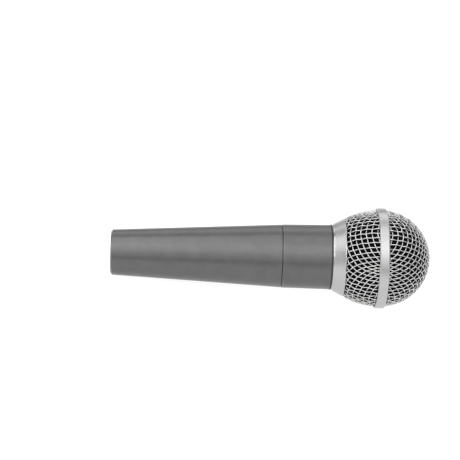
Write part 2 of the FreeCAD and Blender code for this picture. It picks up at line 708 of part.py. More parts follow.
def make_liner():
    """The gasket behind the collar and the foam that lines the ball."""
    seal = tube("grille_seal_ring", "housing_end", "housing_end + joint_gap", "seal_inner", "seal_outer")
    skin = "(dome_radius - mesh_wall - liner_gap)"
    core = "(dome_radius - mesh_wall - liner_gap - liner_wall)"
    skin_curve = "(bulge_curve - mesh_wall - liner_gap)"
    core_curve = "(bulge_curve - mesh_wall - liner_gap - liner_wall)"
    liner = turned("foam_liner", [
        ("liner_start", curve_radius("liner_start", skin_curve, skin)),
        ("liner_start", curve_radius("liner_start", core_curve, core), core_curve, RIGHT),
        ("band_centre", core),
        ("dome_centre", core, core, RIGHT),
        (f"dome_centre + {core}", "0"),
        (f"dome_centre + {skin}", "0", skin, LEFT),
        ("dome_centre", skin),
        ("band_centre", skin, skin_curve, LEFT),
    ])
    return [seal, liner]


def lying_down():
    """The Placement that rests the band and the tail's rim on z = 0, centred in x."""
    tail = value("tail_radius")
    rise = value("band_radius") - tail
    run = value("band_centre - band_width / 2 + band_round - tail_chamfer")
    tilt = math.atan2(rise, run)
    height = tail * math.cos(tilt) - value("tail_chamfer") * math.sin(tilt)
    tail_reach = (tail - value("tail_chamfer")) * math.sin(tilt)
    crown_reach = value("dome_centre") * math.cos(tilt) + value("dome_radius")
    middle = (crown_reach - tail_reach) / 2
    turn = FreeCAD.Rotation(Vector(0, 1, 0), -math.degrees(tilt))
    return FreeCAD.Placement(Vector(-middle, 0, height), turn)


pieces = []
for maker in (
    make_handle_shell,
    make_connector,
    make_transformer,
    make_leads,
    make_head,
    make_magnet_system,
    make_capsule,
    make_diaphragm,
    make_grille,
    make_liner,
):
    pieces += maker()
lay = lying_down()
for piece in pieces:
    piece.Placement = lay.multiply(piece.Placement)
doc.recompute()

for feature in doc.Objects:
    if {"Invalid", "Error"} & set(feature.State):
        raise RuntimeError(f"{feature.Label} did not build")
for piece in pieces:
    if piece.Shape.isNull() or not piece.Shape.isValid():
        raise RuntimeError(f"{piece.Label} is not a valid shape")

os.makedirs("parts", exist_ok=True)
for piece in pieces:
    piece.Shape.exportStep(f"parts/{piece.Label}.step")
    print(f"{piece.Label}: {piece.Shape.Volume:.1f} mm3, {len(piece.Shape.Solids)} solid(s)")
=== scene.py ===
"""Looks of a handheld vocal microphone with a woven-wire ball grille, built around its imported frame.

The microphone lies on its side. Pieces are modelled about its own axis, called the spindle here,
with X running from the tail to the crown of the grille, and are then laid down as the frame lies.
"""

import json
import logging
import math
from dataclasses import dataclass, field
from typing import Any, Iterable, Optional, Union

import bmesh
import bpy
from mathutils import Matrix, Vector, noise


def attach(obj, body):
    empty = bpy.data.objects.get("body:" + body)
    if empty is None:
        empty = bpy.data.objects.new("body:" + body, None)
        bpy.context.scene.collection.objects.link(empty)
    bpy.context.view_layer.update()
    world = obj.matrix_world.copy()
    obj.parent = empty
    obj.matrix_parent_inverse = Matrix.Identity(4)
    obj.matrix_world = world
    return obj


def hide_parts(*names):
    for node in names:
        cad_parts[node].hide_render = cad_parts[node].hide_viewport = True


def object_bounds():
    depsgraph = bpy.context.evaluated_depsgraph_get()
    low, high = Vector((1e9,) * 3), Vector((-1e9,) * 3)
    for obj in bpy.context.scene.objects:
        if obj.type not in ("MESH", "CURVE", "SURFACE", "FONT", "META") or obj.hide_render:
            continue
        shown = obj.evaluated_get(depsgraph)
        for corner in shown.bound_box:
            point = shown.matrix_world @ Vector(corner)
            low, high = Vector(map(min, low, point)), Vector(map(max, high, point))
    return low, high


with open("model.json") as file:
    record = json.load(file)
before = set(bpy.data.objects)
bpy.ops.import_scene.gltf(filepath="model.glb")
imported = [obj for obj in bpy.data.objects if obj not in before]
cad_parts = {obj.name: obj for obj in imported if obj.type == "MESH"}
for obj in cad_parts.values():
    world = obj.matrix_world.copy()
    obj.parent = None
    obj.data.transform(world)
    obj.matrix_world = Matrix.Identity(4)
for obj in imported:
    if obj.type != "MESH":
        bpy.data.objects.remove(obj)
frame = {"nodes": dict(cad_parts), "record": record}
cad_low, cad_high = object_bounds()

LOG = logging.getLogger("microphone")
MM = 0.001
WELD = 0.002 * MM
Colour = tuple[float, float, float]


# ------------------------------------------------------------------ the spindle
@dataclass(frozen=True)
class Span:
    """Where a CAD node lies along the spindle, and how far it reaches from it, in metres."""

    start: float
    end: float
    reach: float


class Spindle:
    """The microphone's own axis, read from the frame's mounts and nodes."""

    def __init__(self) -> None:
        """Takes the tail's centre and direction from the tail socket's mount."""
        mounts = {mount["name"]: mount for mount in frame["record"]["mounts"]}
        self.tail = Vector(mounts["tail_socket"]["pos_m"])
        self.along = -Vector(mounts["tail_socket"]["axis"]).normalized()
        across = Vector((0.0, 1.0, 0.0))
        upright = self.along.cross(across)
        turn = Matrix((self.along, across, upright)).transposed()
        self.lay = Matrix.Translation(self.tail) @ turn.to_4x4()
        self.tilt = math.atan2(self.along.z, self.along.x)

    def span(self, node: str) -> Span:
        """Measures a CAD node along and across the spindle.

        Args:
            node: The node's name in the frame.

        Returns:
            Its first and last place along the spindle, and its largest radius.
        """
        flat = self.lay.inverted()
        points = [flat @ vertex.co for vertex in frame["nodes"][node].data.vertices]
        places = [point.x for point in points]
        reach = max(math.hypot(point.y, point.z) for point in points)
        return Span(min(places), max(places), reach)

    def row(self, point: Vector) -> Vector:
        """A point given about the spindle, in the row's frame."""
        return self.lay @ point


# ------------------------------------------------------------------ shader kit
Input = Union["Signal", float, Colour, tuple]


class Signal:
    """One shader socket that takes part in Python expressions."""

    def __init__(self, shader: "Shader", socket: bpy.types.NodeSocket) -> None:
        """Wraps a node's output socket."""
        self.shader = shader
        self.socket = socket

    def _math(self, operation: str, *values: Input) -> "Signal":
        """Adds a Math node on these values."""
        return self.shader.node("ShaderNodeMath", {"operation": operation}, dict(enumerate(values)))

    def __add__(self, other: Input) -> "Signal":
        """self + other."""
        return self._math("ADD", self, other)

    def __radd__(self, other: Input) -> "Signal":
        """other + self."""
        return self._math("ADD", other, self)

    def __sub__(self, other: Input) -> "Signal":
        """self - other."""
        return self._math("SUBTRACT", self, other)

    def __rsub__(self, other: Input) -> "Signal":
        """other - self."""
        return self._math("SUBTRACT", other, self)

    def __mul__(self, other: Input) -> "Signal":
        """self * other."""
        return self._math("MULTIPLY", self, other)

    def sine(self) -> "Signal":
        """The sine of the value in radians."""
        return self._math("SINE", self)

    def within(self, low: float, high: float, soft: float) -> "Signal":
        """1 between low and high, falling to 0 over a soft edge outside them.

        Args:
            low: Where the band starts.
            high: Where the band ends.
            soft: Width of each soft edge.

        Returns:
            The mask.
        """
        rise = self.step(low - soft, low)
        return rise * (1.0 - self.step(high, high + soft))

    def step(self, low: float, high: float) -> "Signal":
        """0 below low, 1 above high, and smooth between them."""
        settings = {"interpolation_type": "SMOOTHSTEP", "clamp": True}
        inputs = {"Value": self, "From Min": low, "From Max": high, "To Min": 0.0, "To Max": 1.0}
        return self.shader.node("ShaderNodeMapRange", settings, inputs)


class Shader:
    """Builds one node material."""

    def __init__(self, name: str) -> None:
        """Makes the material and finds its surface node."""
        self.material = bpy.data.materials.new(name)
        self.material.use_nodes = True
        self.tree = self.material.node_tree
        self.surface = self.tree.nodes["Principled BSDF"]

    def node(
        self,
        kind: str,
        settings: Optional[dict[str, Any]] = None,
        inputs: Optional[dict[Union[int, str], Input]] = None,
        output: Union[int, str] = 0,
    ) -> Signal:
        """Adds any node: its settings first, then the values or links of its sockets.

        Args:
            kind: The node's type.
            settings: Its properties.
            inputs: Socket name or number to a value or a Signal.
            output: The output socket to return.

        Returns:
            The chosen output.
        """
        made = self.tree.nodes.new(kind)
        for name, setting in (settings or {}).items():
            setattr(made, name, setting)
        for name, given in (inputs or {}).items():
            self.feed(made.inputs[name], given)
        return Signal(self, made.outputs[output])

    def feed(self, socket: bpy.types.NodeSocket, given: Input) -> None:
        """Links a Signal into a socket, or sets a plain value on it."""
        if isinstance(given, Signal):
            self.tree.links.new(given.socket, socket)
        elif socket.type == "RGBA" and len(given) == 3:
            socket.default_value = (*given, 1.0)
        else:
            socket.default_value = given

    def set(self, **values: Input) -> None:
        """Sets or links the surface's sockets: Base_Color stands for Base Color."""
        for name, given in values.items():
            self.feed(self.surface.inputs[name.replace("_", " ")], given)

    def place(self, spindle: Spindle) -> Signal:
        """Object coordinates turned so that X runs along the spindle from the tail."""
        here = self.node("ShaderNodeTexCoord", output="Object")
        return self.node(
            "ShaderNodeMapping",
            {"vector_type": "TEXTURE"},
            {"Vector": here, "Location": tuple(spindle.tail), "Rotation": (0.0, -spindle.tilt, 0.0)},
        )

    def along(self, place: Signal) -> Signal:
        """The place along the spindle, in metres."""
        return self.node("ShaderNodeSeparateXYZ", inputs={0: place}, output="X")

    def noise(self, where: Signal, per_metre: float, detail: float = 2.0, rough: float = 0.5) -> Signal:
        """Soft noise from 0 to 1 with this many cells to the metre."""
        inputs = {"Vector": where, "Scale": per_metre, "Detail": detail, "Roughness": rough}
        return self.node("ShaderNodeTexNoise", {"noise_dimensions": "3D"}, inputs, "Fac")

    def cells(self, where: Signal, per_metre: float) -> Signal:
        """Distance to the nearest cell centre, for pores and grains."""
        inputs = {"Vector": where, "Scale": per_metre}
        return self.node("ShaderNodeTexVoronoi", {"feature": "F1"}, inputs, "Distance")

    def blend(self, amount: Input, low: Input, high: Input) -> Signal:
        """Mixes two colours."""
        settings = {"data_type": "RGBA", "clamp_factor": True}
        return self.node("ShaderNodeMix", settings, {0: amount, 6: low, 7: high}, 2)

    def bump(self, height: Signal, depth: float) -> Signal:
        """Turns a height from 0 to 1 into a normal, for a relief this many metres deep."""
        return self.node("ShaderNodeBump", inputs={"Height": height, "Strength": 1.0, "Distance": depth})


# ------------------------------------------------------------------ finishes
@dataclass(frozen=True)
class Enamel:
    """Satin charcoal enamel on cast metal, turned in fine rings by the collar, and paler at the seam where
    a highlight is painted on its chamfer edge.
    """

    colour: Colour = (0.108, 0.108, 0.109)
    # The paler enamel, used for random mottle and for the painted highlight at the seam.
    mottle_and_highlight: Colour = (0.134, 0.134, 0.135)
    roughness: float = 0.31
    mottles: float = 160.0
    grains: float = 5200.0
    grain_depth: float = 0.012 * MM
    ring_pitch: float = 0.85 * MM
    ring_depth: float = 0.006 * MM
    ringed_length: float = 7.5 * MM
    ringed_fade: float = 1.5 * MM
    seam_start: float = 6.2 * MM
    seam_end: float = 6.9 * MM
    seam_fade: float = 0.2 * MM

    def make(self, name: str, spindle: Spindle) -> bpy.types.Material:
        """Builds the material."""
        shader = Shader(name)
        place = shader.place(spindle)
        mottle = shader.noise(place, self.mottles, 4.0, 0.6)
        grain = shader.noise(place, self.grains, 2.0, 0.6)
        along = shader.along(place)
        housing = spindle.span("front_housing")
        collar = spindle.span("grille_collar")
        ringed = along.within(collar.start - self.ringed_length, collar.start, self.ringed_fade)
        rings = (along * (2 * math.pi / self.ring_pitch)).sine() * 0.5 + 0.5
        shade = mottle.step(0.3, 0.7) * 0.5 + grain * 0.3 + rings * ringed * 0.12
        # Painted highlight: a paler, less rough band where the seam's chamfer edge would catch the light.
        seam_highlight = along.within(housing.start + self.seam_start, housing.start + self.seam_end, self.seam_fade)
        shader.set(
            Base_Color=shader.blend(shade + seam_highlight * 0.3, self.colour, self.mottle_and_highlight),
            Roughness=self.roughness + mottle * 0.06 - seam_highlight * 0.05,
            Metallic=0.85,
            IOR=1.5,
        )
        relief = grain * 0.8 + rings * ringed * (self.ring_depth / self.grain_depth)
        shader.set(Normal=shader.bump(relief, self.grain_depth))
        return shader.material


@dataclass(frozen=True)
class Plate:
    """Bead-blasted or drawn metal, polished bright in an optional stretch of the spindle."""

    colour: Colour = (0.465, 0.465, 0.463)
    dull: Colour = (0.400, 0.400, 0.398)
    roughness: float = 0.26
    grains: float = 4200.0
    grain_depth: float = 0.02 * MM
    polish: Optional[tuple[float, float]] = None
    polish_fade: float = 0.05 * MM
    polish_smoothing: float = 0.6
    polish_levelling: float = 0.9
    clouds: float = 120.0

    def make(self, name: str, spindle: Spindle) -> bpy.types.Material:
        """Builds the material."""
        shader = Shader(name)
        place = shader.place(spindle)
        blast = shader.noise(place, self.grains, 3.0, 0.7)
        cloud = shader.noise(place, self.clouds, 3.0, 0.5)
        rough = self.roughness + cloud * 0.08 + blast * 0.06
        height = blast
        if self.polish:
            bright = shader.along(place).within(self.polish[0], self.polish[1], self.polish_fade)
            rough = rough * (1.0 - bright * self.polish_smoothing)
            height = blast * (1.0 - bright * self.polish_levelling)
        shade = (cloud * 0.5 + blast * 0.6).step(0.3, 0.8)
        shader.set(
            Base_Color=shader.blend(shade, self.dull, self.colour),
            Metallic=1.0,
            Roughness=rough,
            Normal=shader.bump(height, self.grain_depth),
        )
        return shader.material


@dataclass(frozen=True)
class Moulded:
    """Rubber, plastic, foam, sheathing or film: one body colour with a grain."""

    colour: Colour
    second: Colour
    roughness: float = 0.5
    grains: float = 1500.0
    grain_depth: float = 0.02 * MM
    pores: bool = False
    shine: float = 0.5
    coat: float = 0.0
    metallic: float = 0.0
    cloud_size: float = 12.0

    def make(self, name: str, spindle: Spindle) -> bpy.types.Material:
        """Builds the material."""
        shader = Shader(name)
        place = shader.place(spindle)
        grain = shader.noise(place, self.grains, 3.0, 0.6)
        cloud = shader.noise(place, self.grains / self.cloud_size, 2.0)
        height = shader.cells(place, self.grains) if self.pores else grain
        shader.set(
            Base_Color=shader.blend(cloud * 0.6 + height * 0.4, self.colour, self.second),
            Metallic=self.metallic,
            Roughness=self.roughness + grain * 0.08,
            Specular_IOR_Level=self.shine,
            Coat_Weight=self.coat,
            Coat_Roughness=0.2,
            Normal=shader.bump(height, self.grain_depth),
        )
        return shader.material


@dataclass(frozen=True)
class Layered:
    """Windings, laminations, cloth or board: fine parallel lines along or across the spindle."""

    colour: Colour
    line_colour: Colour
    pitch: float
    depth: float = 0.03 * MM
    roughness: float = 0.45
    metallic: float = 0.0
    crossed: bool = False
    tints: float = 300.0

    def make(self, name: str, spindle: Spindle) -> bpy.types.Material:
        """Builds the material."""
        shader = Shader(name)
        place = shader.place(spindle)
        turns = 2 * math.pi / self.pitch
        if self.crossed:
            across = shader.node("ShaderNodeSeparateXYZ", inputs={0: place}, output="Y")
            upright = shader.node("ShaderNodeSeparateXYZ", inputs={0: place}, output="Z")
            lines = (across * turns).sine() * (upright * turns).sine() * 0.5 + 0.5
        else:
            lines = (shader.along(place) * turns).sine() * 0.5 + 0.5
        tint = shader.noise(place, self.tints, 3.0)
        shader.set(
            Base_Color=shader.blend(lines * 0.7 + tint * 0.3, self.line_colour, self.colour),
            Metallic=self.metallic,
            Roughness=self.roughness + tint * 0.1,
            Normal=shader.bump(lines, self.depth),
        )
        return shader.material


Finish = Union[Enamel, Plate, Moulded, Layered]


class Rack:
    """The finishes by material slot, each made once, and the collar's polished edge."""

    polished_edge: float = 0.95 * MM

    def __init__(self, spindle: Spindle) -> None:
        """Lists the finish of each slot."""
        self.spindle = spindle
        collar = spindle.span("grille_collar")
        black = (0.012, 0.012, 0.013)
        self.finishes: dict[str, Finish] = {
            "charcoal_enamel": Enamel(),
            "satin_nickel": Plate(polish=(collar.start, collar.start + self.polished_edge)),
            "woven_wire": Plate(
                (0.62, 0.62, 0.615),
                (0.53, 0.53, 0.526),
                roughness=0.20,
                grains=2600.0,
                grain_depth=0.01 * MM,
            ),
            "plated_contact": Plate(
                (0.86, 0.84, 0.79),
                (0.78, 0.76, 0.70),
                roughness=0.18,
                grains=1500.0,
                grain_depth=0.005 * MM,
            ),
            "brass_lug": Plate(
                (0.80, 0.66, 0.38),
                (0.66, 0.52, 0.28),
                roughness=0.3,
                grains=1500.0,
                grain_depth=0.008 * MM,
            ),
            "black_screw": Plate(
                (0.10, 0.10, 0.105),
                (0.06, 0.06, 0.06),
                roughness=0.35,
                grains=3000.0,
                grain_depth=0.008 * MM,
            ),
            "plated_steel": Plate(
                (0.70, 0.70, 0.68),
                (0.55, 0.55, 0.53),
                roughness=0.3,
                grains=900.0,
                grain_depth=0.01 * MM,
            ),
            "black_foam": Moulded(
                (0.0015, 0.0015, 0.0022),
                (0.004, 0.004, 0.006),
                roughness=0.95,
                grains=1400.0,
                grain_depth=0.3 * MM,
                pores=True,
                shine=0.1,
            ),
            "black_rubber": Moulded(black, (0.022, 0.022, 0.022), roughness=0.62, grains=1800.0),
            "black_plastic": Moulded(
                black, (0.024, 0.024, 0.026), roughness=0.42, grains=2400.0, grain_depth=0.01 * MM
            ),
            "potting_wax": Moulded(
                (0.46, 0.36, 0.20),
                (0.60, 0.50, 0.30),
                roughness=0.4,
                grains=240.0,
                grain_depth=0.1 * MM,
                coat=0.3,
            ),
            "red_lead": Moulded((0.45, 0.015, 0.015), (0.55, 0.03, 0.02), roughness=0.4, grains=900.0),
            "black_lead": Moulded(black, (0.02, 0.02, 0.02), roughness=0.4, grains=900.0),
            "yellow_lead": Moulded((0.65, 0.45, 0.03), (0.75, 0.55, 0.06), roughness=0.4, grains=900.0),
            "magnet_grey": Moulded(
                (0.10, 0.10, 0.11), (0.16, 0.16, 0.17), roughness=0.35, grains=1200.0, metallic=0.8
            ),
            "clear_film": Moulded(
                (0.55, 0.47, 0.33),
                (0.66, 0.58, 0.42),
                roughness=0.18,
                grains=700.0,
                grain_depth=0.01 * MM,
                coat=0.5,
            ),
            "lamination_steel": Layered(
                (0.34, 0.34, 0.35),
                (0.12, 0.12, 0.13),
                pitch=0.5 * MM,
                metallic=1.0,
            ),
            "copper_winding": Layered(
                (0.72, 0.30, 0.12),
                (0.35, 0.11, 0.04),
                pitch=0.3 * MM,
                metallic=1.0,
            ),
            "screen_cloth": Layered(
                (0.075, 0.075, 0.08),
                (0.012, 0.012, 0.014),
                pitch=0.55 * MM,
                crossed=True,
            ),
            "board_green": Layered(
                (0.05, 0.20, 0.09),
                (0.03, 0.12, 0.05),
                pitch=1.2 * MM,
                depth=0.01 * MM,
                roughness=0.35,
                crossed=True,
            ),
        }
        self.made: dict[str, bpy.types.Material] = {}

    def finish(self, slot: str) -> bpy.types.Material:
        """The material of a slot."""
        if slot not in self.made:
            self.made[slot] = self.finishes[slot].make(slot, self.spindle)
        return self.made[slot]

    def dress_nodes(self) -> None:
        """Gives every CAD node the material of its slot."""
        for part in frame["record"]["subparts"]:
            node = frame["nodes"][part["node"]]
            node.data.materials.clear()
            node.data.materials.append(self.finish(part["material_slot"]))


# ------------------------------------------------------------------ piece kit
def hang_mesh(name: str, mesh: bpy.types.Mesh, material: bpy.types.Material) -> bpy.types.Object:
    """Stands a mesh in the scene as an object at the origin, smooth and in one material."""
    mesh.materials.clear()
    mesh.materials.append(material)
    mesh.shade_smooth()
    piece = bpy.data.objects.new(name, mesh)
    bpy.context.scene.collection.objects.link(piece)
    LOG.info("%s: %d faces", name, len(mesh.polygons))
    return piece


def finished_piece(
    name: str, made: bmesh.types.BMesh, spindle: Spindle, material: bpy.types.Material
) -> bpy.types.Object:
    """Turns a bmesh modelled about the spindle into an object that lies as the frame lies.

    Args:
        name: The piece's name.
        made: The bmesh, which is freed.
        spindle: The microphone's axis.
        material: The piece's material.

    Returns:
        The new object, at the origin.
    """
    bmesh.ops.transform(made, matrix=spindle.lay, verts=made.verts)
    mesh = bpy.data.meshes.new(name)
    made.to_mesh(mesh)
    made.free()
    return hang_mesh(name, mesh, material)


def turn_profile(profile: Iterable[tuple[float, float]], steps: int, closed: bool) -> bmesh.types.BMesh:
    """Spins a profile of (place, radius) points about the spindle.

    Args:
        profile: The points in order.
        steps: Steps round the full turn.
        closed: Whether the last point joins the first.

    Returns:
        The turned bmesh, with its normals facing out.
    """
    made = bmesh.new()
    points = [made.verts.new((place, 0.0, radius)) for place, radius in profile]
    edges = [made.edges.new(pair) for pair in zip(points, points[1:])]
    if closed:
        edges.append(made.edges.new((points[-1], points[0])))
    bmesh.ops.spin(
        made,
        geom=points + edges,
        cent=(0.0, 0.0, 0.0),
        axis=(1.0, 0.0, 0.0),
        angle=2 * math.pi,
        steps=steps,
        use_merge=True,
    )
    bmesh.ops.remove_doubles(made, verts=made.verts, dist=WELD)
    bmesh.ops.recalc_face_normals(made, faces=made.faces)
    return made


# ------------------------------------------------------------------ woven wire
@dataclass(frozen=True)
class Bend:
    """A stretch of a turned outline: an arc, or a straight run where the radius is 0.

    The outline runs from start to end in (place, radius) coordinates; centre is the arc's.
    """

    start: Vector
    end: Vector
    centre: Vector
    radius: float

    @property
    def length(self) -> float:
        """Length of the stretch."""
        if not self.radius:
            return (self.end - self.start).length
        return self.radius * abs(self._turn_to(self.end))

    def _turn_to(self, point: Vector) -> float:
        """Signed angle from the start to a point, about the centre."""
        first = self.start - self.centre
        here = point - self.centre
        return math.atan2(first.x * here.y - first.y * here.x, first.dot(here))

    def at(self, length: float) -> Vector:
        """The point this far along."""
        if not self.radius:
            return self.start.lerp(self.end, length / self.length)
        turn = self._turn_to(self.end) * length / self.length
        return self.centre + Matrix.Rotation(turn, 2) @ (self.start - self.centre)

    def nearest(self, point: Vector) -> tuple[Vector, float]:
        """The nearest point of the stretch and its distance along it."""
        if not self.radius:
            run = self.end - self.start
            share = min(1.0, max(0.0, (point - self.start).dot(run) / run.length_squared))
            return self.start + run * share, share * run.length
        share = min(1.0, max(0.0, self._turn_to(point) / self._turn_to(self.end)))
        return self.at(share * self.length), share * self.length


class Outline:
    """The meridian of a pressed half ball, from its pole outwards."""

    def __init__(self, bends: list[Bend]) -> None:
        """Keeps the stretches in order."""
        self.bends = bends

    def at(self, length: float) -> Vector:
        """The (place, radius) point this far from the pole."""
        for bend in self.bends[:-1]:
            if length <= bend.length:
                return bend.at(length)
            length -= bend.length
        return self.bends[-1].at(length)

    def nearest(self, point: Vector) -> tuple[Vector, float]:
        """The nearest (place, radius) point of the outline and its distance from the pole."""
        best: Optional[tuple[Vector, float]] = None
        before = 0.0
        for bend in self.bends:
            found, length = bend.nearest(point)
            if best is None or (found - point).length < (best[0] - point).length:
                best = (found, before + length)
            before += bend.length
        return best


@dataclass
class Knot:
    """A crossing of two wires: its place, its distance from the pole, and the way out of the ball."""

    spot: Vector
    reach: float
    out: Vector = field(default_factory=Vector)


QUARTERS = ((1, 0), (0, 1), (-1, 0), (0, -1))


def way_round(spot: Vector) -> Vector:
    """The way from the spindle straight out to a point, or along Y for a point on it."""
    around = Vector((0.0, spot.y, spot.z))
    return around.normalized() if around.length > 1e-9 else Vector((0.0, 1.0, 0.0))


@dataclass
class WovenHalf:
    """Square-woven wire pressed over one half of the ball.

    The net starts from two wires that cross at the pole, and every further crossing lies one
    pitch from its two neighbours, on the outline turned about the spindle. The pitch is the same
    all over, but towards the rim the press has drawn the sheet out along the meridian, by up to
    the share that stretch gives.
    """

    outline: Outline
    first_reach: float
    last_reach: float
    pitch: float = 2.62 * MM
    wire: float = 0.29 * MM
    crimp: float = 0.26 * MM
    turn: float = math.radians(64.5)
    outward: float = 1.0
    stretch: float = 0.20
    stretch_power: float = 6.0
    probe: float = 0.05 * MM
    passes: int = 40
    ease: float = 0.6
    slack: float = 0.002 * MM
    knots: dict[tuple[int, int], Knot] = field(default_factory=dict)

    def _settle(self, spot: Vector) -> Knot:
        """Puts a point on the turned outline."""
        near, reach = self.outline.nearest(Vector((spot.x, math.hypot(spot.y, spot.z))))
        return Knot(Vector((near.x, 0.0, 0.0)) + way_round(spot) * near.y, reach)

    def _bearings(self, knot: Knot) -> tuple[Vector, Vector]:
        """The way down the meridian and the way out of the sheet at a knot."""
        ahead = self.outline.at(knot.reach + self.probe)
        behind = self.outline.at(max(0.0, knot.reach - self.probe))
        run = (ahead - behind).normalized()
        around = way_round(knot.spot)
        down = Vector((run.x, 0.0, 0.0)) + around * run.y
        return down, (Vector((-run.y, 0.0, 0.0)) + around * run.x) * -self.outward

    def _length(self, reach: float, share: float) -> float:
        """The pitch this far from the pole, for a wire with this share of its run downwards."""
        drawn = min(1.0, reach / self.last_reach) ** self.stretch_power
        return self.pitch * (1.0 + self.stretch * drawn * share)

    def _spine(self, quarter: int, count: int) -> None:
        """Lays one of the two first wires from the pole outwards."""
        angle = self.turn + quarter * math.pi / 2
        around = Vector((0.0, -math.cos(angle), math.sin(angle)))
        way = QUARTERS[quarter]
        reach = 0.0
        for number in range(count):
            point = self.outline.at(reach)
            spot = Vector((point.x, 0.0, 0.0)) + around * point.y
            self.knots[(way[0] * number, way[1] * number)] = Knot(spot, reach)
            reach += self._length(reach, 1.0)

    def _fill(self, quarter: int, count: int) -> None:
        """Fills the quarter between two first wires, as far as the rim."""
        one = QUARTERS[quarter]
        two = QUARTERS[(quarter + 1) % 4]
        for i in range(1, count):
            for j in range(1, count):
                key = (one[0] * i + two[0] * j, one[1] * i + two[1] * j)
                left = self.knots.get((key[0] - one[0], key[1] - one[1]))
                right = self.knots.get((key[0] - two[0], key[1] - two[1]))
                back = self.knots.get((key[0] - one[0] - two[0], key[1] - one[1] - two[1]))
                if left and right and back and min(left.reach, right.reach) <= self.last_reach:
                    self.knots[key] = self._across(left, right, back)

    def _across(self, left: Knot, right: Knot, back: Knot) -> Knot:
        """The knot that closes a mesh of the net.

        Args:
            left: One neighbour of the new knot.
            right: Its other neighbour.
            back: The knot opposite to it, which neighbours both.

        Returns:
            The knot one pitch from left and from right, on the outline.
        """
        spot = left.spot + right.spot - back.spot
        for _ in range(self.passes):
            knot = self._settle(spot)
            down = self._bearings(knot)[0]
            slips = Vector()
            for other in (left, right):
                pull = knot.spot - other.spot
                share = (pull.normalized().dot(down)) ** 2
                slips += pull * (self._length(knot.reach, share) / pull.length - 1.0)
            spot = knot.spot + slips * self.ease
            if slips.length < self.slack:
                break
        return self._settle(spot)

    def weave(self) -> list[list[Vector]]:
        """Lays the net and returns the control points of each wire that shows.

        Returns:
            One list of points for each run of wire, over and under its neighbours in turn.
        """
        count = int(self.last_reach / self.pitch) + 3
        for quarter in range(4):
            self._spine(quarter, count)
        for quarter in range(4):
            self._fill(quarter, count)
        for knot in self.knots.values():
            knot.out = self._bearings(knot)[1]
        runs = []
        for line in range(-count, count + 1):
            for warp in (True, False):
                keys = [(step, line) if warp else (line, step) for step in range(-count, count + 1)]
                runs += self._runs(keys, warp)
        return runs

    def _runs(self, keys: list[tuple[int, int]], warp: bool) -> list[list[Vector]]:
        """Cuts one line of knots where it leaves the half, and crimps what stays."""
        runs: list[list[Vector]] = []
        points: list[Vector] = []
        before: Optional[Knot] = None
        for key in keys:
            knot = self.knots.get(key)
            inside = knot is not None and self.first_reach <= knot.reach <= self.last_reach
            if inside:
                if not points and before is not None:
                    points.append(self._cut(knot, before))
                over = 1.0 if (key[0] + key[1]) % 2 == (0 if warp else 1) else -1.0
                points.append(knot.spot + knot.out * (over * self.crimp * 2.0))
            elif points:
                if knot is not None:
                    points.append(self._cut(before, knot))
                runs.append(points)
                points = []
            before = knot
        if points:
            runs.append(points)
        return [run for run in runs if len(run) > 2]

    def _cut(self, inner: Knot, outer: Knot) -> Vector:
        """Where a wire crosses the edge of the half between two knots."""
        limit = self.last_reach if outer.reach > self.last_reach else self.first_reach
        share = (limit - inner.reach) / (outer.reach - inner.reach)
        return self._settle(inner.spot.lerp(outer.spot, share)).spot

    def piece(self, name: str, spindle: Spindle, material: bpy.types.Material) -> bpy.types.Object:
        """Draws every wire round.

        Args:
            name: The piece's name.
            spindle: The microphone's axis.
            material: The wire's material.

        Returns:
            The woven half as one mesh, at the origin.
        """
        curve = bpy.data.curves.new(f"{name}_wires", "CURVE")
        curve.dimensions = "3D"
        curve.bevel_depth = self.wire
        curve.bevel_resolution = 1
        curve.use_fill_caps = True
        for run in self.weave():
            wire = curve.splines.new("NURBS")
            wire.points.add(len(run) - 1)
            for point, spot in zip(wire.points, run):
                point.co = (*spindle.row(spot), 1.0)
            wire.order_u = 3
            wire.use_endpoint_u = True
            wire.resolution_u = 4
        drawn = bpy.data.objects.new(f"{name}_wires", curve)
        mesh = bpy.data.meshes.new_from_object(drawn)
        mesh.name = name
        bpy.data.objects.remove(drawn)
        return hang_mesh(name, mesh, material)


